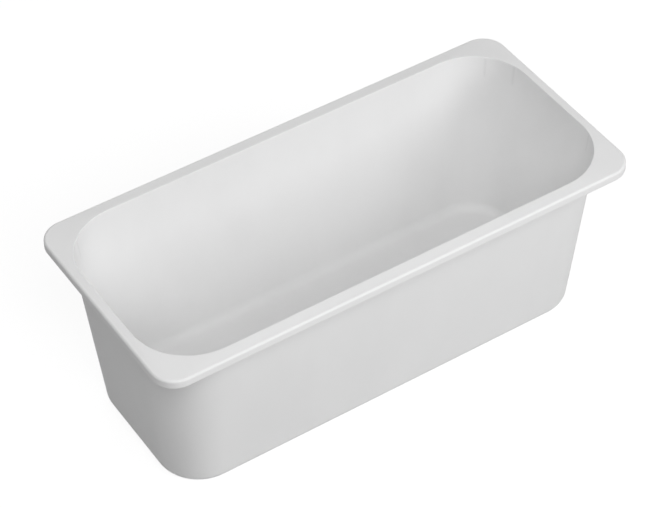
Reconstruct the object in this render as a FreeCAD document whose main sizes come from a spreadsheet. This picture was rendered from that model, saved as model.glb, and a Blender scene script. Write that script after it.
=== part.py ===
import FreeCAD, Part
import math
import os
import Sketcher

# A moulded freezer tub, the long open pan that stands in an ice cream display.
# It is one injection moulding: a deep tub with drafted walls and rounded corners, hung from a
# flat rim whose outer edge turns down into a lip.  Short ribs in the rim's corners stop nested
# tubs from wedging, and the tub stands on a narrow foot round a recessed bottom.
#
# Frame: millimetres, +Z up, X along the tub, origin at the bottom centre.

# ------------------------------------------------------------------ driving dimensions

SIZES = [
    # alias, value, what it is
    ("rim_length", 360.0, "rim, outside, along X"),
    ("rim_width", 165.0, "rim, outside, along Y"),
    ("tub_height", 134.0, "from the foot to the top of the rim"),
    ("rim_corner_radius", 17.0, "rim corners, seen from above"),
    ("rim_thickness", 2.0, "flat plate of the rim"),
    ("rim_edge_radius", 3.0, "rounding where the rim turns down"),
    ("lip_thickness", 2.0, "turned-down lip"),
    ("lip_drop", 7.0, "lip, from the top of the rim to its lower edge"),
    ("end_land", 6.75, "rim width between the outside and the opening, at the ends"),
    ("side_land", 9.5, "the same along the sides"),
    ("opening_corner_radius", 42.0, "corners of the opening"),
    ("opening_edge_radius", 1.5, "rounding of the opening's edge"),
    ("draft_angle", 5.6, "slope of all walls, in degrees"),
    ("wall_thickness", 1.5, "walls, square to their surface"),
    ("floor_thickness", 1.8, "bottom panel"),
    ("floor_edge_radius", 7.0, "inside, between the walls and the floor"),
    ("base_edge_radius", 7.0, "outside, between the walls and the foot"),
    ("foot_height", 0.8, "depth of the recess under the bottom"),
    ("foot_width", 5.0, "flat ring that the tub stands on"),
    ("stack_clearance", 2.0, "play left between nested walls, along Z"),
    ("rib_thickness", 1.2, "stacking ribs"),
    ("rib_reach", 3.0, "how far a rib's foot stands out of the wall"),
    ("rib_first_angle", 15.0, "first rib of a corner, from the X axis, in degrees"),
    ("rib_second_angle", 45.0, "second rib of a corner, in degrees"),
    ("gate_radius", 2.5, "mark that the moulding gate leaves"),
    ("gate_height", 0.4, "height of that mark, less than the recess"),
]

# Sizes that follow from the driving ones.
OPENING_LENGTH = "(Sizes.rim_length - 2 * Sizes.end_land)"
OPENING_WIDTH = "(Sizes.rim_width - 2 * Sizes.side_land)"
WALL_ACROSS = "(Sizes.wall_thickness / cos(Sizes.draft_angle))"
WALL_INSET = "(Sizes.tub_height * tan(Sizes.draft_angle))"
FLOOR_TOP = "(Sizes.foot_height + Sizes.floor_thickness)"
RIM_UNDERSIDE = "(Sizes.tub_height - Sizes.rim_thickness)"
# Nested tubs wedge once their rims are a wall's thickness along Z apart; the ribs stop them before.
STACK_PITCH = "(Sizes.wall_thickness / sin(Sizes.draft_angle) + Sizes.stack_clearance)"
CORNER_X = f"({OPENING_LENGTH} / 2 - Sizes.opening_corner_radius)"
CORNER_Y = f"({OPENING_WIDTH} / 2 - Sizes.opening_corner_radius)"
BASE_LENGTH = f"({OPENING_LENGTH} + 2 * {WALL_ACROSS} - 2 * {WALL_INSET})"
BASE_WIDTH = f"({OPENING_WIDTH} + 2 * {WALL_ACROSS} - 2 * {WALL_INSET})"
BASE_CORNER = f"(Sizes.opening_corner_radius + {WALL_ACROSS} - {WALL_INSET})"
# Radius of a corner's outer wall where a rib ends, measured from the corner's axis.
RIB_FOOT_WALL = (
    f"(Sizes.opening_corner_radius + {WALL_ACROSS} - {STACK_PITCH} * tan(Sizes.draft_angle))")

SAME_HEIGHT = 1e-4      # mm, heights closer than this are the same


def make_sheet(doc):
    """The sheet of driving dimensions: name, value with its alias, and meaning."""
    sheet = doc.addObject("Spreadsheet::Sheet", "Sizes")
    for row, (alias, value, meaning) in enumerate(SIZES, start=1):
        sheet.set(f"A{row}", alias)
        sheet.set(f"B{row}", str(value))
        sheet.setAlias(f"B{row}", alias)
        sheet.set(f"C{row}", meaning)
    doc.recompute()
    return sheet


# ------------------------------------------------------------------ helpers

def value_of(sheet, expression):
    """The number that an expression gives with the sheet's present values."""
    return float(sheet.evalExpression(expression))


def origin_plane(body, role):
    """One of the body's own origin planes, such as XY_Plane."""
    return next(item for item in body.Origin.OriginFeatures if item.Role == role)


def new_sketch(body, name, height):
    """A sketch that lies level at a height given as an expression."""
    sketch = body.newObject("Sketcher::SketchObject", name)
    sketch.AttachmentSupport = [(origin_plane(body, "XY_Plane"), "")]
    sketch.MapMode = "FlatFace"
    sketch.setExpression("AttachmentOffset.Base.z", height)
    return sketch


def bind(sketch, constraint, name, expression):
    """Add a constraint, name it and tie its value to the sheet."""
    number = sketch.addConstraint(constraint)
    sketch.renameConstraint(number, name)
    sketch.setExpression(f"Constraints.{name}", expression)


def rounded_rectangle(body, name, height, length, width, radius):
    """A rectangle with round corners, centred on the Z axis; the sizes are expressions."""
    half_x = 60.0
    half_y = 40.0
    turn = 15.0
    straight_x = half_x - turn
    straight_y = half_y - turn
    quarter = math.pi / 2
    point = FreeCAD.Vector
    sketch = new_sketch(body, name, height)

    def corner(side_x, side_y, start):
        centre = point(side_x * straight_x, side_y * straight_y, 0)
        circle = Part.Circle(centre, point(0, 0, 1), turn)
        return Part.ArcOfCircle(circle, start, start + quarter)

    outline = [
        Part.LineSegment(point(half_x, -straight_y, 0), point(half_x, straight_y, 0)),
        corner(1, 1, 0.0),
        Part.LineSegment(point(straight_x, half_y, 0), point(-straight_x, half_y, 0)),
        corner(-1, 1, quarter),
        Part.LineSegment(point(-half_x, straight_y, 0), point(-half_x, -straight_y, 0)),
        corner(-1, -1, 2 * quarter),
        Part.LineSegment(point(-straight_x, -half_y, 0), point(straight_x, -half_y, 0)),
        corner(1, -1, 3 * quarter),
    ]
    right, right_back, back, left_back, left, left_front, front, right_front = range(len(outline))
    sketch.addGeometry(outline, False)
    start, end, middle = 1, 2, 3
    axes, centre_point = -1, 1
    for number in range(len(outline)):
        following = (number + 1) % len(outline)
        sketch.addConstraint(Sketcher.Constraint("Tangent", number, end, following, start))
    for number in (right, left):
        sketch.addConstraint(Sketcher.Constraint("Vertical", number))
    for number in (back, front):
        sketch.addConstraint(Sketcher.Constraint("Horizontal", number))
    for number in (left_back, left_front, right_front):
        sketch.addConstraint(Sketcher.Constraint("Equal", right_back, number))
    sketch.addConstraint(Sketcher.Constraint(
        "Symmetric", right_back, middle, left_front, middle, axes, centre_point))
    bind(sketch, Sketcher.Constraint("DistanceX", left, start, right, start, 2 * half_x),
         "length", length)
    bind(sketch, Sketcher.Constraint("DistanceY", front, start, back, start, 2 * half_y),
         "width", width)
    bind(sketch, Sketcher.Constraint("Radius", right_back, turn), "radius", radius)
    return sketch


def disc(body, name, height, radius):
    """A circle round the Z axis."""
    size = 5.0
    sketch = new_sketch(body, name, height)
    sketch.addGeometry(Part.Circle(FreeCAD.Vector(), FreeCAD.Vector(0, 0, 1), size), False)
    sketch.addConstraint(Sketcher.Constraint("Coincident", 0, 3, -1, 1))
    bind(sketch, Sketcher.Constraint("Radius", 0, size), "radius", radius)
    return sketch


def extrude(body, kind, name, sketch, length, upward, taper=None):
    """A pad or a pocket of a sketch, up or down, by a length given as an expression."""
    feature = body.newObject(f"PartDesign::{kind}", name)
    feature.Profile = sketch
    runs_up_by_itself = kind == "Pad"
    feature.Reversed = upward != runs_up_by_itself
    feature.setExpression("Length", length)
    if taper is not None:
        feature.setExpression("TaperAngle", taper)
    body.Document.recompute()
    return feature


def level_edges(feature, height, half_x=math.inf, half_y=math.inf):
    """Names of the feature's edges that lie level at a height, within half_x and half_y of Z."""
    names = []
    for number, edge in enumerate(feature.Shape.Edges, start=1):
        heights = [vertex.Z for vertex in edge.Vertexes] + [edge.CenterOfMass.z]
        level = max(abs(z - height) for z in heights) < SAME_HEIGHT
        inside = abs(edge.CenterOfMass.x) < half_x and abs(edge.CenterOfMass.y) < half_y
        if level and inside:
            names.append(f"Edge{number}")
    return names


def round_off(body, name, feature, edges, radius):
    """A fillet on some edges of the last feature."""
    fillet = body.newObject("PartDesign::Fillet", name)
    fillet.Base = (feature, edges)
    fillet.setExpression("Radius", radius)
    body.Document.recompute()
    return fillet


def bevel(body, name, feature, edges, size):
    """A chamfer on some edges of the last feature."""
    chamfer = body.newObject("PartDesign::Chamfer", name)
    chamfer.Base = (feature, edges)
    chamfer.setExpression("Size", size)
    body.Document.recompute()
    return chamfer


# ------------------------------------------------------------------ the tub's stages

def add_rim(body, sheet):
    """The flat plate with its rounded, turned-down lip, still without the opening."""
    rim_top = value_of(sheet, "Sizes.tub_height")
    rim_underside = value_of(sheet, RIM_UNDERSIDE)

    outline = rounded_rectangle(
        body, "RimOutline", "Sizes.tub_height",
        "Sizes.rim_length", "Sizes.rim_width", "Sizes.rim_corner_radius")
    slab = extrude(body, "Pad", "Rim", outline, "Sizes.lip_drop", upward=False)
    turned = round_off(body, "RimTurn", slab, level_edges(slab, rim_top), "Sizes.rim_edge_radius")

    channel_outline = rounded_rectangle(
        body, "ChannelOutline", "Sizes.tub_height - Sizes.lip_drop",
        "Sizes.rim_length - 2 * Sizes.lip_thickness",
        "Sizes.rim_width - 2 * Sizes.lip_thickness",
        "Sizes.rim_corner_radius - Sizes.lip_thickness")
    channel = extrude(
        body, "Pocket", "Channel", channel_outline,
        "Sizes.lip_drop - Sizes.rim_thickness", upward=True)
    return bevel(
        body, "RimInsideTurn", channel, level_edges(channel, rim_underside),
        "Sizes.rim_edge_radius - Sizes.lip_thickness")


def add_walls(body):
    """The drafted tub below the rim, still solid, with its bottom edge rounded."""
    outline = rounded_rectangle(
        body, "WallOutline", "Sizes.tub_height",
        f"{OPENING_LENGTH} + 2 * {WALL_ACROSS}",
        f"{OPENING_WIDTH} + 2 * {WALL_ACROSS}",
        f"Sizes.opening_corner_radius + {WALL_ACROSS}")
    walls = extrude(
        body, "Pad", "Walls", outline, "Sizes.tub_height", upward=False,
        taper="-Sizes.draft_angle")
    return round_off(
        body, "BaseEdge", walls, level_edges(walls, 0.0), "Sizes.base_edge_radius")


def add_rib(body, name, angle):
    """One rib in the corner at +X +Y: an upright fin that ends square, at the stacking height."""
    inner, outer, half = 35.0, 45.0, 1.0
    sketch = new_sketch(body, f"{name}Outline", f"Sizes.tub_height - {STACK_PITCH}")
    turn = FreeCAD.Rotation(FreeCAD.Vector(0, 0, 1), 30.0)
    sketch.AttachmentOffset = FreeCAD.Placement(FreeCAD.Vector(), turn)
    sketch.setExpression("AttachmentOffset.Base.x", CORNER_X)
    sketch.setExpression("AttachmentOffset.Base.y", CORNER_Y)
    sketch.setExpression("AttachmentOffset.Rotation.Angle", angle)
    corners = [(inner, -half), (outer, -half), (outer, half), (inner, half)]
    points = [FreeCAD.Vector(x, y, 0) for x, y in corners]
    sides = [Part.LineSegment(points[k], points[(k + 1) % 4]) for k in range(4)]
    sketch.addGeometry(sides, False)
    near, end, far, start = range(4)
    for number in range(4):
        sketch.addConstraint(Sketcher.Constraint("Coincident", number, 2, (number + 1) % 4, 1))
    for number in (near, far):
        sketch.addConstraint(Sketcher.Constraint("Horizontal", number))
    sketch.addConstraint(Sketcher.Constraint("Vertical", start))
    horizontal_axis = -1
    sketch.addConstraint(Sketcher.Constraint("Symmetric", end, 1, end, 2, horizontal_axis))
    bind(sketch, Sketcher.Constraint("DistanceX", -1, 1, start, 1, inner),
         "from_axis", f"{RIB_FOOT_WALL} - {WALL_ACROSS} / 2")
    bind(sketch, Sketcher.Constraint("DistanceX", -1, 1, end, 1, outer),
         "to_reach", f"{RIB_FOOT_WALL} + Sizes.rib_reach")
    bind(sketch, Sketcher.Constraint("DistanceY", end, 1, end, 2, 2 * half),
         "thickness", "Sizes.rib_thickness")
    into_plate = f"{STACK_PITCH} - Sizes.rim_thickness / 2"
    return extrude(body, "Pad", name, sketch, into_plate, upward=True)


def add_ribs(body):
    """The stacking ribs, mirrored into all four corners."""
    ribs = [
        add_rib(body, "FirstRib", "Sizes.rib_first_angle"),
        add_rib(body, "SecondRib", "Sizes.rib_second_angle"),
    ]
    everywhere = body.newObject("PartDesign::MultiTransform", "Ribs")
    everywhere.Originals = ribs
    mirrors = []
    for name, role in (("AcrossX", "YZ_Plane"), ("AcrossY", "XZ_Plane")):
        mirror = body.newObject("PartDesign::Mirrored", name)
        mirror.MirrorPlane = (origin_plane(body, role), [""])
        mirrors.append(mirror)
    everywhere.Transformations = mirrors
    body.Tip = everywhere
    body.Document.recompute()
    return everywhere


def add_cavity(body, sheet):
    """The inside, at the walls' draft, with a rounded floor and a rounded opening."""
    rim_top = value_of(sheet, "Sizes.tub_height")
    floor_top = value_of(sheet, FLOOR_TOP)
    opening_half_x = value_of(sheet, f"{OPENING_LENGTH} / 2 + Sizes.end_land / 2")
    opening_half_y = value_of(sheet, f"{OPENING_WIDTH} / 2 + Sizes.side_land / 2")

    outline = rounded_rectangle(
        body, "OpeningOutline", "Sizes.tub_height",
        OPENING_LENGTH, OPENING_WIDTH, "Sizes.opening_corner_radius")
    cavity = extrude(
        body, "Pocket", "Cavity", outline, f"Sizes.tub_height - {FLOOR_TOP}", upward=False,
        taper="-Sizes.draft_angle")
    floor = round_off(
        body, "FloorEdge", cavity, level_edges(cavity, floor_top), "Sizes.floor_edge_radius")
    opening_edges = level_edges(floor, rim_top, opening_half_x, opening_half_y)
    return round_off(body, "OpeningEdge", floor, opening_edges, "Sizes.opening_edge_radius")


def add_foot(body):
    """The recess that leaves a flat ring to stand on, and the gate's mark in its middle."""
    inset = "2 * (Sizes.base_edge_radius + Sizes.foot_width)"
    outline = rounded_rectangle(
        body, "RecessOutline", "0 * Sizes.foot_height",
        f"{BASE_LENGTH} - {inset}", f"{BASE_WIDTH} - {inset}", f"{BASE_CORNER} - {inset} / 2")
    extrude(body, "Pocket", "Recess", outline, "Sizes.foot_height", upward=True)
    mark = disc(body, "GateOutline", "Sizes.foot_height", "Sizes.gate_radius")
    return extrude(body, "Pad", "GateMark", mark, "Sizes.gate_height", upward=False)


def check(doc, bodies):
    """Stop if any object failed or any piece is not one sound solid."""
    for item in doc.Objects:
        if "Invalid" in item.State or "Error" in item.State:
            raise RuntimeError(f"{item.Name} failed: {item.State}")
    for body in bodies:
        shape = body.Shape
        if shape.isNull() or not shape.isValid() or len(shape.Solids) != 1:
            raise RuntimeError(f"{body.Label} is not one valid solid")


def build():
    """Make the document, check it and write one STEP file for each piece."""
    doc = FreeCAD.newDocument("FreezerTub")
    sheet = make_sheet(doc)
    tub = doc.addObject("PartDesign::Body", "Tub")
    tub.Label = "tub"
    add_rim(tub, sheet)
    add_walls(tub)
    add_ribs(tub)
    add_cavity(tub, sheet)
    add_foot(tub)
    doc.recompute()
    bodies = [tub]
    check(doc, bodies)
    os.makedirs("parts", exist_ok=True)
    for body in bodies:
        body.Shape.exportStep(f"parts/{body.Label}.step")
        volume = body.Shape.Volume
        print(f"{body.Label}: {volume:.0f} cubic mm, {len(body.Shape.Faces)} faces")
    pitch = value_of(sheet, STACK_PITCH)
    print(f"nested tubs stand {pitch:.2f} mm apart")


build()
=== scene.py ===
# %% [markdown]
# # A moulded freezer tub
#
# The object is one plastic moulding: a long open tub with sloping walls, hung from a flat rim
# whose outer edge turns down into a lip. This file makes its visible surface in Blender, round a
# model that was made with exact sizes in a CAD program. That model, the frame, is loaded first,
# and everything here sits where the frame says, in metres: X along the tub, Y across it, Z up.

# %% Load the frame
import math

import bpy
import numpy as np
from mathutils import Matrix, Vector


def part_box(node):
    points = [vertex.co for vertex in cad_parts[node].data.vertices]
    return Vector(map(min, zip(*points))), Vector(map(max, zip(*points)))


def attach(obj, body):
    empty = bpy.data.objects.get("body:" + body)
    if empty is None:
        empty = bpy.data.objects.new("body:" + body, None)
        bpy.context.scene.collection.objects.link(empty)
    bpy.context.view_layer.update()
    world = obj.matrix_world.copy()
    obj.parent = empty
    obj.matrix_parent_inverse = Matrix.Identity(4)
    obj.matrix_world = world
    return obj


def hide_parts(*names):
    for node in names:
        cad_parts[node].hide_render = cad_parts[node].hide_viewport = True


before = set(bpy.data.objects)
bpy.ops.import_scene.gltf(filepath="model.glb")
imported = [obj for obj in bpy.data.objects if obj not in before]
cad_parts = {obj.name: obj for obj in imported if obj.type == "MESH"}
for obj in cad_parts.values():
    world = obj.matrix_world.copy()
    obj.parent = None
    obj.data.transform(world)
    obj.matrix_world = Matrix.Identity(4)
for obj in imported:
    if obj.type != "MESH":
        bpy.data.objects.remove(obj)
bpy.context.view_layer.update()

print("frame nodes:", sorted(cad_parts))

# %% [markdown]
# ## Sizes
#
# The outer sizes are read from the frame, so they can't drift from the CAD model. The others are
# the moulding's own: how thick the walls are, how far they slope (a moulder calls this draft, and
# without it the tub would not leave its mould), and how its edges are rounded.

# %% Name the sizes
MM = 0.001

low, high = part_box("tub")
TOP = high.z
RIM_HALF_X = (high.x - low.x) / 2
RIM_HALF_Y = (high.y - low.y) / 2

RIM_CORNER = 17 * MM          # rim corners, seen from above
RIM_THICK = 2 * MM            # flat plate of the rim
RIM_TURN = 1.8 * MM           # rounding where the rim turns down
RIM_FALL = 0.6 * MM           # how far the rim's top slopes down, from the opening outwards
LIP_THICK = 2 * MM            # turned-down lip
LIP_DROP = 7 * MM             # from the top of the rim to the lip's lower edge
LIP_EDGE = 0.5 * MM           # rounding of the lip's lower edge
INSIDE_TURN = 1 * MM          # rounding inside the lip, under the plate
END_LAND = 6.75 * MM          # rim between the outside and the opening, at the ends
SIDE_LAND = 9.5 * MM          # the same along the sides
OPENING_CORNER = 42 * MM      # corners of the opening
OPENING_EDGE = 0.4 * MM       # rounding of the opening's edge
DRAFT = math.radians(5.6)     # slope of all walls
WALL_THICK = 1.5 * MM
FLOOR_THICK = 1.8 * MM
FLOOR_EDGE = 7 * MM           # inside, between the walls and the floor
BASE_EDGE = 7 * MM            # outside, between the walls and the foot
NECK = 1 * MM                 # outside, between the walls and the rim
FOOT_HEIGHT = 0.8 * MM        # depth of the recess under the bottom
FOOT_WIDTH = 5 * MM           # flat ring that the tub stands on
FOOT_ROUND = 0.25 * MM        # rounding of the ring's inner edge
GATE_RADIUS = 2.5 * MM        # mark that the moulding gate leaves
GATE_HEIGHT = 0.4 * MM
GATE_FLAT = 0.9               # share of the mark's radius that is flat
GATE_UPRIGHT = 0.8            # share of the mark's height that is upright

OPEN_HALF_X = RIM_HALF_X - END_LAND
OPEN_HALF_Y = RIM_HALF_Y - SIDE_LAND
WALL_ACROSS = WALL_THICK / math.cos(DRAFT)      # the wall measured level instead of square
FLOOR_TOP = FOOT_HEIGHT + FLOOR_THICK
GATE_FACE = FOOT_HEIGHT - GATE_HEIGHT
RIM_UNDERSIDE = TOP - RIM_THICK

print(f"tub {2 * RIM_HALF_X / MM:.1f} x {2 * RIM_HALF_Y / MM:.1f} x {TOP / MM:.1f} mm")

# %% [markdown]
# ## Walking round the tub
#
# Every level outline of the tub is a rectangle with round corners. They could be drawn as
# curves and joined, but a formula is shorter and gives every outline the same number of points,
# which is what a grid of faces needs. A station is a place on the way round. It has two signs,
# which say how far it is from corner to corner along X and Y, and the direction in which the
# outline faces there. A straight side is a corner's last station sliding to the next corner.

# %% Stations round an outline
CORNER_STEPS = 24
LONG_SIDE_STEPS = 36
SHORT_SIDE_STEPS = 16


def make_stations():
    """Signs and facing angles of all stations, once round, corner by corner. In a corner the
    signs stay and the angle grows by a quarter turn; along the side that follows, the angle
    stays and one sign slides evenly to its opposite."""
    corners = [(1, 1, LONG_SIDE_STEPS), (-1, 1, SHORT_SIDE_STEPS),
               (-1, -1, LONG_SIDE_STEPS), (1, -1, SHORT_SIDE_STEPS)]
    sign_x, sign_y, angle = [], [], []
    for number, (here_x, here_y, side_steps) in enumerate(corners):
        next_x, next_y, _ = corners[(number + 1) % len(corners)]
        turn = np.linspace(0, 1, CORNER_STEPS + 1)
        share = np.linspace(0, 1, side_steps + 1)[1:-1]
        sign_x += [np.full(turn.size, here_x), here_x + (next_x - here_x) * share]
        sign_y += [np.full(turn.size, here_y), here_y + (next_y - here_y) * share]
        angle += [(number + turn) * math.pi / 2, np.full(share.size, (number + 1) * math.pi / 2)]
    return np.concatenate(sign_x), np.concatenate(sign_y), np.concatenate(angle)


SIGN_X, SIGN_Y, FACING = make_stations()
print("stations round the tub:", FACING.size)

# %% [markdown]
# ## Two families of outlines
#
# The opening has wide corners and the rim has tight ones, so the rim is broader in its corners.
# All outlines of the tub itself are parallel to the opening, and all outlines of the rim's outer
# edge are parallel to the rim. A parallel outline needs one number, how far out it lies. Where
# the flat plate of the rim joins the two families, its rows slide from one to the other.

# %% Outlines as functions of how far out they lie


def outline(half_x, half_y, corner, offset):
    """Rounded rectangles moved out by each offset: the corner's axis, at half minus corner along
    each axis times the station's sign, plus corner and offset along the facing direction."""
    offset = np.atleast_1d(offset)[:, None]
    x = SIGN_X * (half_x - corner) + (corner + offset) * np.cos(FACING)
    y = SIGN_Y * (half_y - corner) + (corner + offset) * np.sin(FACING)
    return x, y


def tub_outline(offset):
    """Outlines parallel to the opening at the top of the tub."""
    return outline(OPEN_HALF_X, OPEN_HALF_Y, OPENING_CORNER, offset)


def rim_outline(offset):
    """Outlines parallel to the outside of the rim."""
    return outline(RIM_HALF_X, RIM_HALF_Y, RIM_CORNER, offset)


def rows(outlines, heights):
    """Grid rows of points: each outline lifted to its height."""
    x, y = outlines
    z = np.broadcast_to(np.asarray(heights, float).reshape(-1, 1), x.shape)
    return np.stack([x, y, z], axis=-1)


def slide(from_row, to_row, steps):
    """Rows between two rows, both left out: each point goes straight, in even steps."""
    share = np.linspace(0, 1, steps + 1)[1:-1, None, None]
    return from_row * (1 - share) + to_row * share


print(f"opening {2 * OPEN_HALF_X / MM:.1f} x {2 * OPEN_HALF_Y / MM:.1f} mm")

# %% [markdown]
# ## The profile
#
# Cut the wall and look at the cut: that line is the profile. It starts in the middle of the
# bottom, comes out over the foot, climbs the outer wall to the rim, goes round the lip, crosses
# the rim and comes down the inner wall to the middle of the floor. Each bend is an arc that
# touches both its neighbours, worked out from the slope of the walls. A bevel modifier could
# round the bends as well, but it leaves the number and place of its edges to chance, and a
# formula puts them where the light needs them.
#
# The top of the rim isn't quite level. It falls by about half a millimetre on its way outwards,
# which the eye reads only from the light that it catches.
#
# A smooth surface takes its shading from the average of the faces round each point, so a flat
# face beside a bend would look bent too. A guard row close to each bend keeps it flat.

# %% Arcs and walls of the profile
GUARD = 0.35 * MM         # distance of a guard row from the bend beside it
EDGE_STEPS = 14           # faces across the bends at the foot and the floor
NECK_STEPS = 6
OPENING_STEPS = 10


def arc(centre_offset, centre_height, radius, first, last, steps):
    """Offsets and heights along an arc, from the first to the last angle in degrees, where 0
    points out of the tub and 90 points up."""
    turn = np.radians(np.linspace(first, last, steps + 1))
    return centre_offset + radius * np.cos(turn), centre_height + radius * np.sin(turn)


def wall_offset(height, outside):
    """How far out the wall lies at a height: it slopes in by the draft from the top down, and the
    outer side lies the wall's thickness further out."""
    return (WALL_ACROSS if outside else 0.0) - (TOP - height) * math.tan(DRAFT)


def bend_offset(height, radius, outside, material_side):
    """Offset of the centre of an arc that touches the wall: at the centre's height, the wall's
    offset and the radius square to the wall, towards the side that the centre is on."""
    return wall_offset(height, outside) + material_side * radius / math.cos(DRAFT)


DRAFT_DEGREES = math.degrees(DRAFT)
base_arc = arc(bend_offset(BASE_EDGE, BASE_EDGE, True, -1), BASE_EDGE, BASE_EDGE,
               -90, -DRAFT_DEGREES, EDGE_STEPS)
neck_arc = arc(bend_offset(RIM_UNDERSIDE - NECK, NECK, True, 1), RIM_UNDERSIDE - NECK, NECK,
               180 - DRAFT_DEGREES, 90, NECK_STEPS)
opening_arc = arc(bend_offset(TOP - OPENING_EDGE, OPENING_EDGE, False, 1), TOP - OPENING_EDGE,
                  OPENING_EDGE, 90, 180 - DRAFT_DEGREES, OPENING_STEPS)
floor_arc = arc(bend_offset(FLOOR_TOP + FLOOR_EDGE, FLOOR_EDGE, False, -1),
                FLOOR_TOP + FLOOR_EDGE, FLOOR_EDGE, -DRAFT_DEGREES, -90, EDGE_STEPS)
print(f"foot's edge {-base_arc[0][0] / MM:.2f} mm inside the opening")
print(f"outer wall straight from {base_arc[1][-1] / MM:.2f} mm up")

# %% [markdown]
# ## Walls and floor
#
# The walls are straight from bend to bend, so two rows would be enough to draw one. More rows
# make the faces about as tall as they are wide, and faces of an even size shade evenly. A flat
# floor could be one face with many corners, but Blender would cut it into long slivers. Rings
# that shrink towards the middle stay even.

# %% Rows of walls and flat areas
WALL_STEPS = 12


def wall_rows(lower, upper, outside):
    """A straight wall between two heights, with a guard row near each end."""
    between = np.linspace(lower, upper, WALL_STEPS + 1)[1:-1]
    heights = np.concatenate([[lower + GUARD], between, [upper - GUARD]])
    return rows(tub_outline(wall_offset(heights, outside)), heights)


def flat_rows(outer_row, steps):
    """A flat area inside a row: copies that shrink towards the middle, the last of them small."""
    share = np.linspace(1, 0, steps + 1)[1:-1, None, None]
    middle = np.array([0.0, 0.0, outer_row[0, 2]])
    return middle + (outer_row - middle) * share


def round_rows(radius, heights):
    """Circles round the middle whose points lie in the same directions as the outline's."""
    x, y = tub_outline(0.0)
    far = np.hypot(x, y)
    heights = np.asarray(heights, float)
    return rows((np.repeat(x / far * radius, heights.size, 0),
                 np.repeat(y / far * radius, heights.size, 0)), heights)


inner_wall = wall_rows(floor_arc[1][0], opening_arc[1][-1], False)
outer_wall = wall_rows(base_arc[1][-1], neck_arc[1][0], True)
print("rows up the inner and the outer wall:", len(inner_wall), len(outer_wall))

# %% [markdown]
# ## The bottom
#
# A flat bottom would rock on the smallest bump, and a moulded one never comes out quite flat. So
# the tub stands on a flat ring, and the middle is drawn in by less than a millimetre. In its
# centre is the small round mark of the gate, where the melt came in. It could be a cylinder
# joined on, but rings of the same stations can shrink into a circle, so it is a few more rows.

# %% Rows of the bottom
RECESS_STEPS = 8
FOOT_ROUND_STEPS = 3


def bottom_rows():
    """Underside: the gate's mark, the recess round it, and the flat foot."""
    recess_offset = wall_offset(0.0, True) - BASE_EDGE - FOOT_WIDTH
    mark = round_rows(GATE_RADIUS / 2, [GATE_FACE])
    mark_edge = round_rows(GATE_RADIUS * GATE_FLAT, [GATE_FACE])
    mark_side = round_rows(GATE_RADIUS, [FOOT_HEIGHT - GATE_HEIGHT * GATE_UPRIGHT, FOOT_HEIGHT])
    recess_edge = rows(tub_outline(recess_offset - GUARD), [FOOT_HEIGHT])
    roof = slide(mark_side[-1], recess_edge[0], RECESS_STEPS)
    inner, height = arc(recess_offset + FOOT_ROUND, FOOT_ROUND, FOOT_ROUND,
                        180, 270, FOOT_ROUND_STEPS)
    ring = rows(tub_outline(np.concatenate([[recess_offset], inner])),
                np.concatenate([[FOOT_HEIGHT], height]))
    foot = rows(tub_outline([inner[-1] + GUARD, base_arc[0][0] - GUARD]), [0.0, 0.0])
    return [mark, mark_edge, mark_side, roof, recess_edge, ring, foot]


print("rows of the bottom:", sum(len(part) for part in bottom_rows()))

# %% [markdown]
# ## The rim
#
# The rim carries the tub in its rail and is where it is gripped. A thick solid rim would sink in
# as it cools, so moulders turn a thin plate down into a lip, which is as stiff and stays straight.
# Its hollow underside is part of the same surface here. An extruded frame with a hole would do
# for the plate, but the rows carry straight on from the wall, so there is no seam to hide.

# %% Rows of the rim
UNDER_TURN_STEPS = 5
LIP_EDGE_STEPS = 4
RIM_TURN_STEPS = 12
PLATE_UNDER_STEPS = 4
PLATE_TOP_STEPS = 6


def rim_rows():
    """From the neck to the opening: the plate's underside, the lip and the plate's top."""
    lip_bottom = TOP - LIP_DROP
    under_turn = arc(-LIP_THICK - INSIDE_TURN, RIM_UNDERSIDE - INSIDE_TURN, INSIDE_TURN,
                     90, 0, UNDER_TURN_STEPS)
    lip_inner = arc(-LIP_THICK + LIP_EDGE, lip_bottom + LIP_EDGE, LIP_EDGE,
                    180, 270, LIP_EDGE_STEPS)
    lip_outer = arc(-LIP_EDGE, lip_bottom + LIP_EDGE, LIP_EDGE, 270, 360, LIP_EDGE_STEPS)
    turn = arc(-RIM_TURN, TOP - RIM_FALL - RIM_TURN, RIM_TURN, 0, 90, RIM_TURN_STEPS)
    under_start = rows(tub_outline(neck_arc[0][-1] + GUARD), [RIM_UNDERSIDE])
    under_end = rows(rim_outline(under_turn[0][0] - GUARD), [RIM_UNDERSIDE])
    top_start = rows(rim_outline(turn[0][-1] - GUARD), [TOP - RIM_FALL])
    top_end = rows(tub_outline(opening_arc[0][0] + GUARD), [TOP])
    return [
        under_start, slide(under_start[0], under_end[0], PLATE_UNDER_STEPS), under_end,
        rows(rim_outline(under_turn[0]), under_turn[1]),
        rows(rim_outline(lip_inner[0]), lip_inner[1]),
        rows(rim_outline(lip_outer[0]), lip_outer[1]),
        rows(rim_outline([0.0, 0.0]), [lip_outer[1][-1] + GUARD, turn[1][0] - GUARD]),
        rows(rim_outline(turn[0]), turn[1]),
        top_start, slide(top_start[0], top_end[0], PLATE_TOP_STEPS), top_end,
    ]


print("rows of the rim:", sum(len(part) for part in rim_rows()))

# %% [markdown]
# ## The whole surface
#
# With its parts known, the surface is a stack of rows, each a closed outline of the same number
# of points. Only the two ends of the stack are different: there the last small ring closes on one
# point, in the middle of the bottom and of the floor, where everything is flat.

# %% Stack the rows
FLOOR_STEPS = 10


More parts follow.
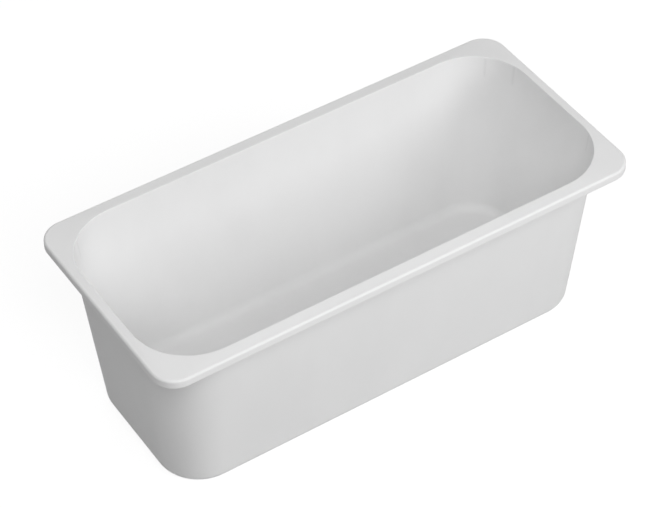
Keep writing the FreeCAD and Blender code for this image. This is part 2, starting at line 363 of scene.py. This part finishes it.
def tub_rows():
    """All rows of the tub's surface, from the middle of the bottom to the middle of the floor."""
    floor_edge = rows(tub_outline(floor_arc[0][-1] - GUARD), [FLOOR_TOP])
    return np.concatenate([
        *bottom_rows(),
        rows(tub_outline(base_arc[0]), base_arc[1]),
        outer_wall,
        rows(tub_outline(neck_arc[0]), neck_arc[1]),
        *rim_rows(),
        rows(tub_outline(opening_arc[0]), opening_arc[1]),
        inner_wall[::-1],
        rows(tub_outline(floor_arc[0]), floor_arc[1]),
        floor_edge, flat_rows(floor_edge[0], FLOOR_STEPS),
    ])


tub_grid = tub_rows()
print("rows and stations:", tub_grid.shape[:2])

# %% [markdown]
# ## From a grid to a mesh
#
# Blender wants a flat list of points and faces. Each face joins a station to the next one on its
# row and to the same two on the next row, in the order that makes the face point outwards. The
# points go in whole, in one call, because adding them one by one is slow.

# %% Turn grids of points into one closed mesh


def ring_faces(count, around, first_number):
    """Faces of one stack of rings whose points are numbered row by row: quads between rows, the
    last station joined to the first, and a fan of triangles from each end ring to its pole."""
    number = first_number + np.arange(count * around).reshape(count, around)
    following = np.roll(number, -1, axis=1)
    first_pole = first_number + count * around
    quads = np.stack([number[:-1], following[:-1], following[1:], number[1:]], -1).reshape(-1, 4)
    start_fan = np.stack([following[0], number[0], np.full(around, first_pole)], -1)
    end_fan = np.stack([number[-1], following[-1], np.full(around, first_pole + 1)], -1)
    return quads.tolist() + start_fan.tolist() + end_fan.tolist()


def grid_mesh(name, grids, poles):
    """One mesh of closed skins, each a stack of rings with a pole point beyond either end."""
    points, faces = [], []
    for grid, ends in zip(grids, poles):
        count, around = grid.shape[:2]
        first_number = sum(len(part) for part in points)
        faces += ring_faces(count, around, first_number)
        points += [grid.reshape(-1, 3), np.asarray(ends, float)]
    mesh = bpy.data.meshes.new(name)
    mesh.from_pydata(np.concatenate(points).tolist(), [], faces)
    mesh.polygons.foreach_set("use_smooth", np.ones(len(mesh.polygons), bool))
    mesh.update()
    return mesh


def add_piece(name, mesh):
    """An object at the origin, unturned and unscaled, with its place in its mesh."""
    piece = bpy.data.objects.new(name, mesh)
    bpy.context.scene.collection.objects.link(piece)
    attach(piece, "root")
    return piece


tub_poles = [(0, 0, GATE_FACE), (0, 0, FLOOR_TOP)]
tub = add_piece("tub_moulding", grid_mesh("tub_surface", [tub_grid], [tub_poles]))
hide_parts("tub")
print("tub faces:", len(tub.data.polygons))

# %% [markdown]
# ## Stacking ribs
#
# Empty tubs are stored inside each other. Their sloping walls would wedge, so each corner has two
# short upright fins under the rim, and the rim of the tub below stops them first. They could be
# cubes with a bevel, but their inner edge has to follow the sloping wall. So each fin is a stack
# of small level outlines, like the tub: the outer edge stays upright and the inner edge leans.
# The outline is a superellipse, which is a rectangle with softly rounded corners in one formula.

# %% Make the ribs
STACK_CLEARANCE = 2 * MM
RIB_THICK = 1.2 * MM
RIB_REACH = 3 * MM                                # how far a rib's foot stands out of the wall
RIB_ANGLES = np.radians([15, 45])                 # in each corner, from the X axis
RIB_FOOT = RIB_THICK / 4                          # rounding of a rib's lower end
RIB_SQUARENESS = 7
RIB_STATIONS = 32
ARC_MIDDLE = 0.3                                  # see rib_grid's formula

stack_pitch = WALL_THICK / math.sin(DRAFT) + STACK_CLEARANCE
rib_bottom = TOP - stack_pitch
rib_top = RIM_UNDERSIDE + RIM_THICK / 2
rib_outer = OPENING_CORNER + wall_offset(rib_bottom, True) + RIB_REACH
CORNER_X, CORNER_Y = OPEN_HALF_X - OPENING_CORNER, OPEN_HALF_Y - OPENING_CORNER


def rib_section(turn, half_length, half_width):
    """Superellipse: cosine and sine keep their signs and are raised to two over the squareness,
    then stretched to half the length and half the width."""
    power = 2 / RIB_SQUARENESS
    along = half_length * np.sign(np.cos(turn)) * np.abs(np.cos(turn)) ** power
    across = half_width * np.sign(np.sin(turn)) * np.abs(np.sin(turn)) ** power
    return along, across


def rib_grid(side_x, side_y, angle):
    """Rows of one rib. Its inner edge is in the middle of the wall's thickness at every height,
    so it leans with the wall. The first rows are smaller, which rounds the lower end: halfway
    round, a quarter circle lies 0.3 of its radius from the lines that it touches."""
    height = rib_top - rib_bottom
    middle = ARC_MIDDLE * RIB_FOOT
    heights = rib_bottom + np.array([0, middle, RIB_FOOT, RIB_THICK, height / 2, height])[:, None]
    shrink = np.array([RIB_FOOT, middle, 0, 0, 0, 0])[:, None]
    inner = OPENING_CORNER + wall_offset(heights, True) - WALL_ACROSS / 2
    turn = np.linspace(0, 2 * math.pi, RIB_STATIONS, endpoint=False)
    along, across = rib_section(turn, (rib_outer - inner) / 2 - shrink, RIB_THICK / 2 - shrink)
    along = along + (rib_outer + inner) / 2
    out_x, out_y = side_x * math.cos(angle), side_y * math.sin(angle)
    x = side_x * CORNER_X + out_x * along - out_y * across
    y = side_y * CORNER_Y + out_y * along + out_x * across
    return np.stack([x, y, np.broadcast_to(heights, x.shape)], -1)


rib_grids = [rib_grid(side_x, side_y, angle)
             for side_x in (1, -1) for side_y in (1, -1) for angle in RIB_ANGLES]
rib_poles = [[grid[0].mean(0), grid[-1].mean(0)] for grid in rib_grids]
ribs = add_piece("stacking_ribs", grid_mesh("rib_surfaces", rib_grids, rib_poles))
print(f"{len(rib_grids)} ribs from {rib_bottom / MM:.1f} mm up")
print(f"nested tubs {stack_pitch / MM:.1f} mm apart")

# %% [markdown]
# ## The plastic
#
# The tub is white polypropylene. Its white pigment throws back a little over nine tenths of the
# light, and the light that it throws from wall to wall makes the inside so even. Its surface
# copies the steel of the mould, which was finely blasted, so it shines softly, like satin. Three
# things keep it from looking like a computer's plastic. The melt cools unevenly and leaves faint
# clouds. The surface has a fine grain. And the edges, where tubs rub against rails and each
# other, are a little smoother.
#
# Each effect is a node group: a box of nodes with named inputs and outputs, which keeps the
# material short enough to read and can be used again with other values. A few helpers make the
# code read like the sums that the nodes do.

# %% Helpers for node groups


def new_group(name, inputs, outputs):
    """A shader node group with float inputs (name, value) and outputs (name, kind)."""
    group = bpy.data.node_groups.new(name, "ShaderNodeTree")
    for label, value in inputs:
        socket = group.interface.new_socket(label, in_out="INPUT", socket_type="NodeSocketFloat")
        socket.default_value = value
    for label, kind in outputs:
        group.interface.new_socket(label, in_out="OUTPUT", socket_type=f"NodeSocket{kind}")
    return group, group.nodes.new("NodeGroupInput"), group.nodes.new("NodeGroupOutput")


def add_node(tree, kind, **settings):
    """A node of a kind, with some of its settings given."""
    node = tree.nodes.new(f"ShaderNode{kind}")
    for setting, value in settings.items():
        setattr(node, setting, value)
    return node


def calculate(tree, operation, first, second=None, third=None):
    """A Math node; each of its inputs is a number or another node's output."""
    node = add_node(tree, "Math", operation=operation)
    for number, value in enumerate((first, second, third)):
        if isinstance(value, bpy.types.NodeSocket):
            tree.links.new(value, node.inputs[number])
        elif value is not None:
            node.inputs[number].default_value = value
    return node.outputs[0]


def noise(tree, place, scale, detail):
    """Soft noise between 0 and 1 at a place, with so many waves to the metre; each step of detail
    adds waves half as long and half as strong."""
    node = add_node(tree, "TexNoise")
    node.inputs["Scale"].default_value = scale
    node.inputs["Detail"].default_value = detail
    tree.links.new(place, node.inputs["Vector"])
    return node.outputs["Fac"]


print("helpers:", [helper.__name__ for helper in (new_group, add_node, calculate, noise)])

# %% [markdown]
# ## Cooling clouds
#
# The melt runs up the mould and cools unevenly, which leaves patches that differ by a shade. A
# painted picture would have to be unwrapped round the tub and would show its seams. Noise fills
# space instead, so the patches pass round every corner unbroken. Two sizes of it are added, and
# both are stretched upwards, the way the melt ran, by reading the height at less than half scale.

# %% Group: cooling clouds
CLOUD_STRETCH = (1.0, 1.0, 0.45)
BROAD_WAVES = 14.0            # to the metre
SMALL_WAVES = 55.0
BROAD_SHARE = 0.7             # of the sum; small clouds have the rest


def make_clouds():
    """Uneven patches around 0.5: broad noise times its share plus small noise times the rest."""
    group, _, result = new_group("cooling_clouds", [], [("Clouds", "Float")])
    place = add_node(group, "TexCoord").outputs["Object"]
    stretch = add_node(group, "Mapping")
    stretch.inputs["Scale"].default_value = CLOUD_STRETCH
    group.links.new(place, stretch.inputs["Vector"])
    broad = noise(group, stretch.outputs["Vector"], BROAD_WAVES, detail=2)
    small = noise(group, stretch.outputs["Vector"], SMALL_WAVES, detail=3)
    both = calculate(group, "ADD", calculate(group, "MULTIPLY", broad, BROAD_SHARE),
                     calculate(group, "MULTIPLY", small, 1 - BROAD_SHARE))
    group.links.new(both, result.inputs["Clouds"])
    return group


clouds_group = make_clouds()
print(clouds_group.name, "has", len(clouds_group.nodes), "nodes")

# %% [markdown]
# ## Blasted grain
#
# The mould's steel is blasted with fine grit, and the plastic copies the dents. They are far too
# small for the mesh. Bump only tilts the light as they would, which is all that the eye sees of
# them. The group puts out a real height in metres, so the depth of the grain is stated as a size:
# a few thousandths of a millimetre. A slower wave under it stands for the steel's polishing.

# %% Group: blasted grain
GRAIN_DEPTH = 0.004 * MM
GRAIN_WAVES = 1400.0          # to the metre
POLISH_WAVES = 90.0
POLISH_WEIGHT = 3.0           # times as deep as the grain


def make_grain():
    """Height in metres: depth times the sum of the fine noise and the weighted slow noise."""
    group, given, result = new_group("blasted_grain", [("Depth", GRAIN_DEPTH)],
                                     [("Height", "Float")])
    place = add_node(group, "TexCoord").outputs["Object"]
    fine = noise(group, place, GRAIN_WAVES, detail=2)
    slow = noise(group, place, POLISH_WAVES, detail=1)
    both = calculate(group, "ADD", fine, calculate(group, "MULTIPLY", slow, POLISH_WEIGHT))
    height = calculate(group, "MULTIPLY", both, given.outputs["Depth"])
    group.links.new(height, result.inputs["Height"])
    return group


grain_group = make_grain()
print(grain_group.name, "has", len(grain_group.nodes), "nodes")

# %% [markdown]
# ## Marks and painted shade of the ribs
#
# Plastic shrinks as it cools, and shrinks more where it is thick. So each rib shows on the inside
# of the wall as a faint upright line in the corner, a little sunken. The line is also a little
# darker in
# colour, which is painted shade: it stands for the rib's shadow seen through the thin pale wall.
# The hollows could be carved into the mesh, but they are only hundredths of a millimetre deep. A
# mask in
# the material does both: it measures how far a point is from the plane of each rib.

# %% Group: rib hollows and painted shade
MARK_HALF_WIDTH = 1.5 * MM
MARK_START = rib_bottom - 1 * MM      # heights at which the marks begin and are at their full
MARK_FULL = rib_bottom + 4 * MM
MARK_FADE = TOP - 2 * MM              # and at which they fade and have gone, below the opening
MARK_END = TOP - 0.5 * MM


def soft_step(tree, value, start, end):
    """0 before the start and 1 after the end, smooth between; backwards if end is the smaller."""
    node = add_node(tree, "MapRange", interpolation_type="SMOOTHSTEP", clamp=True)
    tree.links.new(value, node.inputs["Value"])
    limits = {"From Min": start, "From Max": end, "To Min": 0.0, "To Max": 1.0}
    for label, number in limits.items():
        node.inputs[label].default_value = number
    return node.outputs["Result"]


def rib_line(tree, x, y, angle, half_width):
    """1 in a rib's plane, falling evenly to 0 at half the width from it. The distance from the
    plane is Y times the cosine of the rib's angle minus X times its sine."""
    across = calculate(tree, "ABSOLUTE", calculate(
        tree, "SUBTRACT", calculate(tree, "MULTIPLY", y, math.cos(angle)),
        calculate(tree, "MULTIPLY", x, math.sin(angle))))
    line = calculate(tree, "SUBTRACT", 1.0, calculate(tree, "DIVIDE", across, half_width))
    return calculate(tree, "MAXIMUM", line, 0.0)


def make_rib_hollows_and_shade():
    """1 on the inside of the wall in front of a rib, 0 elsewhere: where the hollows and the painted
    shade of the ribs go. X and Y lose their signs, so that one corner's sum serves all four, and
    are measured from the corner's axis."""
    group, given, result = new_group("rib_hollows_and_shade", [("Half Width", MARK_HALF_WIDTH)],
                                     [("Mark", "Float")])
    split = add_node(group, "SeparateXYZ")
    group.links.new(add_node(group, "TexCoord").outputs["Object"], split.inputs[0])
    x = calculate(group, "SUBTRACT", calculate(group, "ABSOLUTE", split.outputs["X"]), CORNER_X)
    y = calculate(group, "SUBTRACT", calculate(group, "ABSOLUTE", split.outputs["Y"]), CORNER_Y)
    z = split.outputs["Z"]
    squares = [calculate(group, "POWER", side, 2.0) for side in (x, y)]
    from_axis = calculate(group, "SQRT", calculate(group, "ADD", *squares))
    middle_of_wall = calculate(group, "MULTIPLY_ADD", z, math.tan(DRAFT),
                               OPENING_CORNER - TOP * math.tan(DRAFT) + WALL_ACROSS / 2)
    inside = calculate(group, "LESS_THAN", from_axis, middle_of_wall)
    reach = calculate(group, "MULTIPLY", soft_step(group, z, MARK_START, MARK_FULL),
                      soft_step(group, z, MARK_END, MARK_FADE))
    lines = 0.0
    for angle in RIB_ANGLES:
        line = rib_line(group, x, y, angle, given.outputs["Half Width"])
        lines = calculate(group, "ADD", line, lines)
    mark = calculate(group, "MULTIPLY", lines, calculate(group, "MULTIPLY", inside, reach))
    group.links.new(mark, result.inputs["Mark"])
    return group


rib_hollows_and_shade_group = make_rib_hollows_and_shade()
print(f"rib marks from {MARK_START / MM:.1f} mm up to the opening's edge")

# %% [markdown]
# ## Rubbed edges
#
# Where tubs rub on rails, on each other and on the worktop, their outer edges lose the blasted
# grain and turn smooth. Blender can find edges while it renders, but that number is lost when the
# model leaves Blender. Here it is worked out once for every point and kept in the mesh, as an
# attribute that the material reads.

# %% Measure how sharply each point's surroundings bend outwards


def outward_bend(grid):
    """Bend of the profile at each point, per metre: the sine of the turn between the steps before
    and after it, over their mean length. It counts only where the turn leans against the face's
    outward direction, which is the way round crossed with the way along the profile."""
    step = np.diff(grid, axis=0)
    length = np.linalg.norm(step, axis=-1, keepdims=True)
    step = step / length
    around = np.roll(grid, -1, axis=1)[1:-1] - np.roll(grid, 1, axis=1)[1:-1]
    out = np.cross(around, step[1:] + step[:-1])
    turn = step[1:] - step[:-1]
    convex = -np.einsum("ijk,ijk->ij", turn, out) / np.linalg.norm(out, axis=-1)
    bend = np.zeros(grid.shape[:2])
    bend[1:-1] = np.clip(convex, 0, None) / ((length[1:] + length[:-1])[..., 0] / 2)
    return bend


def keep_attribute(piece, name, values):
    """Store one number for each point of a piece's mesh."""
    attribute = piece.data.attributes.new(name, "FLOAT", "POINT")
    attribute.data.foreach_set("value", np.asarray(values, np.float32))


RUBBED_RADIUS = 1.2 * MM      # an edge as tight as this is fully rubbed
rubbed = np.clip(outward_bend(tub_grid) * RUBBED_RADIUS, 0, 1)
keep_attribute(tub, "rubbed", np.concatenate([rubbed.ravel(), np.zeros(len(tub_poles))]))
keep_attribute(ribs, "rubbed", np.zeros(len(ribs.data.vertices)))
print(f"points rubbed more than half: {np.mean(rubbed > 0.5):.0%}")

# %% [markdown]
# ## Mix the plastic
#
# Everything comes together in one material. The clouds slide the colour between two near whites
# and the gloss by a little, because colour alone looks printed on. The rib marks darken the
# colour with painted shade, for the ribs' shadow through the wall, the rubbed edges smooth the
# gloss, and the grain and the marks' hollows make the bump.
# One Principled shader is enough: plastic is a coloured body under a clear, slightly rough skin,
# which is just what it works out. What is the same all over, such as how strongly the skin bends
# light, is set on the shader itself, so that it survives when the model is exported.

# %% Mix the plastic
WHITE = (0.93, 0.93, 0.93, 1.0)
WHITE_SHADE = (0.905, 0.905, 0.905, 1.0)
CLOUD_LOW, CLOUD_HIGH = 0.3, 0.7      # noise values that count as one white and the other
# painted shade: the ribs' shadow through the wall, mixed into the colour in front of each rib
RIB_SHADE_COLOUR = (0.60, 0.60, 0.60, 1.0)
RIB_SHADE_SHARE = 0.18                     # share of that colour in the middle of a mark
MARK_DEPTH = 0.01 * MM
ROUGH = 0.54
ROUGH_CLOUDS = 0.06                   # how much rougher the paler clouds are
ROUGH_RUBBED = 0.08                   # how much smoother a fully rubbed edge is
BUMP_STRENGTH = 0.6
PLASTIC_IOR = 1.49                    # polypropylene bends light this strongly


def mix_colours(tree, share, first, second):
    """A Mix node for colours; each colour is given or is another node's output. The node also
    has sockets for other kinds of values, so the ones for colours are picked by their type."""
    node = add_node(tree, "Mix", data_type="RGBA")
    tree.links.new(share, node.inputs["Factor"])
    colour_sockets = [socket for socket in node.inputs if socket.type == "RGBA"]
    for socket, colour in zip(colour_sockets, (first, second)):
        if isinstance(colour, bpy.types.NodeSocket):
            tree.links.new(colour, socket)
        else:
            socket.default_value = colour
    return next(socket for socket in node.outputs if socket.type == "RGBA")


def place_group(tree, group):
    """A group in a material, with its inputs at their own values; its one output is returned."""
    return add_node(tree, "Group", node_tree=group).outputs[0]


def make_plastic():
    """Satin white polypropylene: clouds in the colour and the gloss, painted shade of the ribs,
    rubbed edges, and the grain with the marks' hollows as bump."""
    material = bpy.data.materials.new("satin_white_plastic")
    material.use_nodes = True
    tree = material.node_tree
    shader = tree.nodes["Principled BSDF"]
    clouds = soft_step(tree, place_group(tree, clouds_group), CLOUD_LOW, CLOUD_HIGH)
    grain = place_group(tree, grain_group)
    mark = place_group(tree, rib_hollows_and_shade_group)
    edge = add_node(tree, "Attribute", attribute_name="rubbed").outputs["Fac"]

    base = mix_colours(tree, clouds, WHITE_SHADE, WHITE)
    # painted shade: in front of each rib the colour darkens, standing for the rib's shadow through
    # the wall
    painted_rib_shade = calculate(tree, "MULTIPLY", mark, RIB_SHADE_SHARE)
    colour = mix_colours(tree, painted_rib_shade, base, RIB_SHADE_COLOUR)
    tree.links.new(colour, shader.inputs["Base Color"])

    cloudy = calculate(tree, "MULTIPLY_ADD", clouds, ROUGH_CLOUDS, ROUGH)
    smoothed = calculate(tree, "MULTIPLY", edge, ROUGH_RUBBED)
    rough = calculate(tree, "SUBTRACT", cloudy, smoothed)
    tree.links.new(rough, shader.inputs["Roughness"])

    hollow = calculate(tree, "MULTIPLY", mark, MARK_DEPTH)
    height = calculate(tree, "SUBTRACT", grain, hollow)
    bump = add_node(tree, "Bump")
    bump.inputs["Distance"].default_value = 1.0
    bump.inputs["Strength"].default_value = BUMP_STRENGTH
    tree.links.new(height, bump.inputs["Height"])
    tree.links.new(bump.outputs["Normal"], shader.inputs["Normal"])
    shader.inputs["IOR"].default_value = PLASTIC_IOR
    return material


plastic = make_plastic()
for piece in (tub, ribs):
    piece.data.materials.append(plastic)
print("plastic nodes:", len(plastic.node_tree.nodes))

# %% [markdown]
# ## Floor and background
#
# A product picture has a plain white ground. If the floor were lit until it looked white, the tub
# would be far too bright. Instead the floor has two faces. A ray from the camera, or one that
# mirrors or passes through something, sees a floor that glows and also takes light, so it comes
# out white, and a little darker only where the tub shades it. Every other ray finds a plain grey
# table, which throws a little light up at the tub. The Light Path node tells the rays apart.

# %% Lay the floor
FLOOR_HALF = 3.0                              # metres from the middle to each side
FLOOR_GLOW = 0.84                             # of full white, where the floor is seen
FLOOR_WHITE = (0.30, 0.30, 0.30, 1.0)         # what takes the lamps' light and the shadow there
FLOOR_BOUNCE = (0.42, 0.42, 0.42, 1.0)        # what throws light up at the tub


def seen_directly(tree):
    """1 for rays from the camera, mirror rays and rays that pass through something."""
    path = add_node(tree, "LightPath")
    mirrored = calculate(tree, "MAXIMUM", path.outputs["Is Glossy Ray"],
                         path.outputs["Is Transmission Ray"])
    return calculate(tree, "MAXIMUM", path.outputs["Is Camera Ray"], mirrored)


def make_floor():
    """A square at height 0 round the tub's foot."""
    mesh = bpy.data.meshes.new("table_top")
    corners = np.array([(-1, -1, 0), (1, -1, 0), (1, 1, 0), (-1, 1, 0)]) * FLOOR_HALF
    mesh.from_pydata(corners.tolist(), [], [(0, 1, 2, 3)])
    floor = bpy.data.objects.new("table", mesh)
    bpy.context.scene.collection.objects.link(floor)

    material = bpy.data.materials.new("white_table")
    material.use_nodes = True
    tree = material.node_tree
    tree.nodes.remove(tree.nodes["Principled BSDF"])
    glow = add_node(tree, "Emission")
    glow.inputs["Strength"].default_value = FLOOR_GLOW
    paper = add_node(tree, "BsdfDiffuse")
    paper.inputs["Color"].default_value = FLOOR_WHITE
    bounce = add_node(tree, "BsdfDiffuse")
    bounce.inputs["Color"].default_value = FLOOR_BOUNCE
    bright = add_node(tree, "AddShader")
    choose = add_node(tree, "MixShader")
    tree.links.new(glow.outputs[0], bright.inputs[0])
    tree.links.new(paper.outputs[0], bright.inputs[1])
    tree.links.new(seen_directly(tree), choose.inputs[0])
    tree.links.new(bounce.outputs[0], choose.inputs[1])
    tree.links.new(bright.outputs[0], choose.inputs[2])
    tree.links.new(choose.outputs[0], tree.nodes["Material Output"].inputs["Surface"])
    mesh.materials.append(material)
    return floor


floor = make_floor()
print(floor.name, "is", floor.dimensions.x, "m wide")

# %% [markdown]
# ## Air
#
# In a white room, walls and ceiling throw light from every side, which fills the shadows. The
# world gives that light here. Its strength is a fifth of white, so that the lamps still shape the
# tub. Like the floor it has a second face: where it is seen or mirrored, it is plain white. A
# tent of white cloth round the tub would do the same, but takes far longer to work out.

# %% Fill the air with light
AIR_LIGHT = 0.19
WHITE_LIGHT = (1.0, 1.0, 1.0, 1.0)


def make_air():
    """A world that is white where it is seen, and a soft even light for everything else."""
    world = bpy.data.worlds.new("studio_air")
    bpy.context.scene.world = world
    world.use_nodes = True
    tree = world.node_tree
    soft = tree.nodes["Background"]
    white = add_node(tree, "Background")
    for light, strength in ((soft, AIR_LIGHT), (white, 1.0)):
        light.inputs["Color"].default_value = WHITE_LIGHT
        light.inputs["Strength"].default_value = strength
    choose = add_node(tree, "MixShader")
    tree.links.new(seen_directly(tree), choose.inputs[0])
    tree.links.new(soft.outputs[0], choose.inputs[1])
    tree.links.new(white.outputs[0], choose.inputs[2])
    tree.links.new(choose.outputs[0], tree.nodes["World Output"].inputs["Surface"])
    return world


air = make_air()
print(air.name, "gives", AIR_LIGHT, "of white")

# %% [markdown]
# ## Lamps
#
# Three large soft lamps light the tub. One hangs high in front of it, to the left, and one lower,
# to the right. Together they light the near wall and reach over it to the far wall inside, and
# the near wall's shadow falls across that softly. A weaker one behind lights the far side and the
# near wall's inside. A single lamp would leave one end of so long a tub dark. Each lamp is a
# square that seen from the tub is wide, because a small lamp draws shadows with hard edges.

# %% Hang the lamps
MIDDLE = Vector((0.0, 0.0, TOP / 2))
LAMP_SIZE = 0.8
LAMP_DISTANCE = 1.6
LAMPS = {                     # degrees round the tub from its front, degrees up, watts
    "front_lamp": (-28, 48, 9.5),
    "right_lamp": (31, 28, 9.8),
    "back_lamp": (180, 60, 3.5),
}


def direction(azimuth, elevation):
    """Unit direction from the tub: azimuth 0 is in front, at -Y, and 90 is to the right."""
    azimuth, elevation = math.radians(azimuth), math.radians(elevation)
    return Vector((math.sin(azimuth) * math.cos(elevation),
                   -math.cos(azimuth) * math.cos(elevation), math.sin(elevation)))


def hang_lamp(name, azimuth, elevation, watts):
    """A square lamp that faces the tub from a direction."""
    lamp = bpy.data.lights.new(name, "AREA")
    lamp.shape = "SQUARE"
    lamp.size = LAMP_SIZE
    lamp.energy = watts
    holder = bpy.data.objects.new(name, lamp)
    way = direction(azimuth, elevation)
    holder.location = MIDDLE + way * LAMP_DISTANCE
    holder.rotation_euler = way.to_track_quat("Z", "Y").to_euler()
    bpy.context.scene.collection.objects.link(holder)
    return holder


for name, (azimuth, elevation, watts) in LAMPS.items():
    holder = hang_lamp(name, azimuth, elevation, watts)
    print(name, "hangs", round(holder.location.z, 2), "m up")

# %% [markdown]
# ## Camera
#
# The camera stands high in front of the tub's left end and far away, with a long lens, which is
# how products are shown: lines that are parallel on the tub stay nearly so in the picture.

# %% Set the camera
CAMERA_SIDE = -32.39          # degrees round the tub from its front, towards its left end
CAMERA_RISE = 44.54           # degrees above the level
CAMERA_TILT = -1.07           # degrees that the camera leans about its own line of sight
CAMERA_DISTANCE = 1.6454
CAMERA_TARGET = Vector((-3.1, 15.1, 71.2)) * MM
CAMERA_LENS = 136.6           # millimetres, as is the sensor's width
CAMERA_SENSOR = 36
CAMERA_NEAR, CAMERA_FAR = 0.01, 100.0         # what is nearer or further isn't drawn


def set_camera():
    """Look along the line from the camera's place to its target; the lean turns the picture's
    own right and up round that line."""
    camera = bpy.data.cameras.new("product_camera")
    camera.sensor_width = CAMERA_SENSOR
    camera.lens = CAMERA_LENS
    camera.clip_start, camera.clip_end = CAMERA_NEAR, CAMERA_FAR
    holder = bpy.data.objects.new("product_camera", camera)
    back = direction(CAMERA_SIDE, CAMERA_RISE)
    right = Vector((0, 0, 1)).cross(back).normalized()
    up = back.cross(right)
    lean = math.radians(CAMERA_TILT)
    leaning_right = math.cos(lean) * right + math.sin(lean) * up
    leaning_up = -math.sin(lean) * right + math.cos(lean) * up
    turn = Matrix((leaning_right, leaning_up, back)).transposed()
    holder.matrix_world = Matrix.Translation(CAMERA_TARGET + back * CAMERA_DISTANCE) @ turn.to_4x4()
    bpy.context.scene.collection.objects.link(holder)
    bpy.context.scene.camera = holder
    return holder


camera = set_camera()
bpy.context.scene.view_settings.view_transform = "Standard"
print("camera at", [round(value, 3) for value in camera.location])
